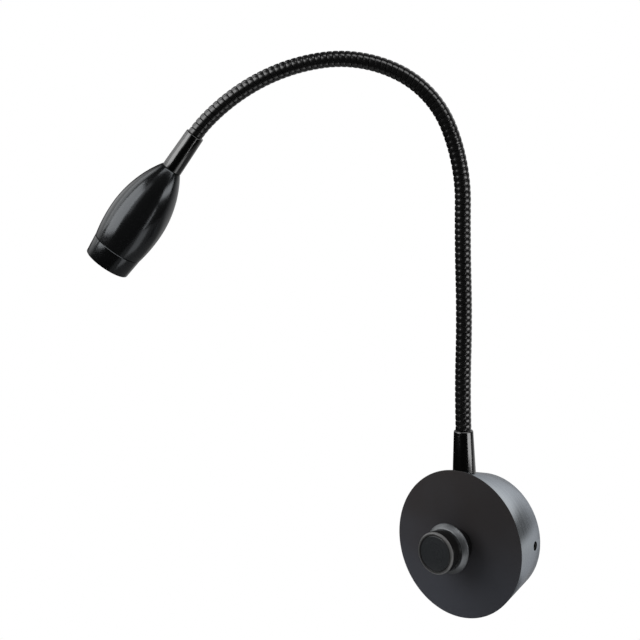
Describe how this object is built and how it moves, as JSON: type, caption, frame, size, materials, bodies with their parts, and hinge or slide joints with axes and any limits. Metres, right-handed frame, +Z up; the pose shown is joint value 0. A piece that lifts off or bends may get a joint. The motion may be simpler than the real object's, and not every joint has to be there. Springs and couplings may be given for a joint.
{
  "type": "flexible wall reading lamp",
  "caption": "Wall reading lamp: round tapered base with a rotary dimmer knob, a flexible ribbed arm and a small spot head.",
  "frame": {"origin": "centre of the wall plate's back face, on the wall", "axes": "+Z up, +Y into the wall; the lamp stands out towards -Y"},
  "size_m": [0.2096, 0.1332, 0.2992],
  "materials": {
    "satin_black": "satin black coat on aluminium",
    "gloss_black": "gloss black coat on steel",
    "black_anodised": "black anodised, turned",
    "grey_anodised": "grey anodised, turned",
    "zinc_steel": "zinc plated",
    "black_steel": "blackened",
    "brass": "plain turned",
    "bare_aluminium": "bare turned",
    "rubber": "matt",
    "white_plastic": "moulded",
    "green_board": "glass fibre board",
    "dark_parts": "electronic parts",
    "lead_sheath": "soft sheath",
    "clear_optic": "clear moulded",
    "led_yellow": "phosphor"
  },
  "bodies": {
    "base": {"wall_plate": "zinc_steel", "cable_grommet": "rubber", "terminal_block": "white_plastic", "terminal_screws": "zinc_steel", "earth_screw": "zinc_steel", "driver_case": "white_plastic", "driver_lid": "white_plastic", "driver_board": "green_board", "driver_parts": "dark_parts", "base_lead": "lead_sheath", "cover": "satin_black", "cover_screws": "black_steel", "dimmer_body": "dark_parts", "dimmer_bushing": "brass", "dimmer_washer": "zinc_steel", "dimmer_nut": "zinc_steel", "nipple": "brass", "nipple_screw": "black_steel", "lower_ferrule": "gloss_black", "hose_1": "gloss_black", "lead_1": "lead_sheath"},
    "arm_2": {"hose_2": "gloss_black", "lead_2": "lead_sheath"},
    "arm_3": {"hose_3": "gloss_black", "lead_3": "lead_sheath"},
    "arm_4": {"hose_4": "gloss_black", "lead_4": "lead_sheath"},
    "arm_5": {"hose_5": "gloss_black", "lead_5": "lead_sheath"},
    "arm_6": {"hose_6": "gloss_black", "lead_6": "lead_sheath"},
    "arm_7": {"hose_7": "gloss_black", "lead_7": "lead_sheath"},
    "head": {"hose_8": "gloss_black", "lead_8": "lead_sheath", "upper_ferrule": "gloss_black", "head_nipple": "brass", "head_nut": "brass", "head_lead": "lead_sheath", "head_shell": "satin_black", "heat_sink": "bare_aluminium", "led_board": "white_plastic", "led_chip": "led_yellow", "lens_holder": "white_plastic", "lens": "clear_optic", "lens_seal": "rubber", "bezel": "satin_black"},
    "knob": {"dimmer_shaft": "bare_aluminium", "knob_body": "black_anodised", "knob_skirt": "grey_anodised", "knob_cap": "black_anodised", "knob_screw": "black_steel"}
  },
  "joints": [
    {"name": "arm_bend_1", "type": "hinge", "parent": "base", "child": "arm_2", "pos_m": [0.0006, -0.02162, 0.10021], "axis": [0.5299, -0.848, 0], "range_deg": [-18, 18]},
    {"name": "arm_bend_2", "type": "hinge", "parent": "arm_2", "child": "arm_3", "pos_m": [0.00125, -0.02122, 0.13993], "axis": [0.848, 0.5299, 0.007], "range_deg": [-18, 18]},
    {"name": "arm_bend_3", "type": "hinge", "parent": "arm_3", "child": "arm_4", "pos_m": [0.0016, -0.021, 0.17965], "axis": [0.5299, -0.848, 0], "range_deg": [-18, 18]},
    {"name": "arm_bend_4", "type": "hinge", "parent": "arm_4", "child": "arm_5", "pos_m": [-0.00378, -0.02436, 0.21862], "axis": [0.7964, 0.4976, 0.3437], "range_deg": [-18, 18]},
    {"name": "arm_bend_5", "type": "hinge", "parent": "arm_5", "child": "arm_6", "pos_m": [-0.02561, -0.038, 0.24766], "axis": [0.5299, -0.848, 0], "range_deg": [-18, 18]},
    {"name": "arm_bend_6", "type": "hinge", "parent": "arm_6", "child": "arm_7", "pos_m": [-0.05829, -0.05842, 0.25463], "axis": [-0.096, -0.06, 0.9936], "range_deg": [-18, 18]},
    {"name": "arm_bend_7", "type": "hinge", "parent": "arm_7", "child": "head", "pos_m": [-0.08986, -0.07815, 0.24171], "axis": [0.5299, -0.848, 0], "range_deg": [-18, 18]},
    {"name": "dimmer_turn", "type": "hinge", "parent": "base", "child": "knob", "pos_m": [0, -0.04, 0], "axis": [0, 1, 0], "range_deg": [0, 280]}
  ]
}
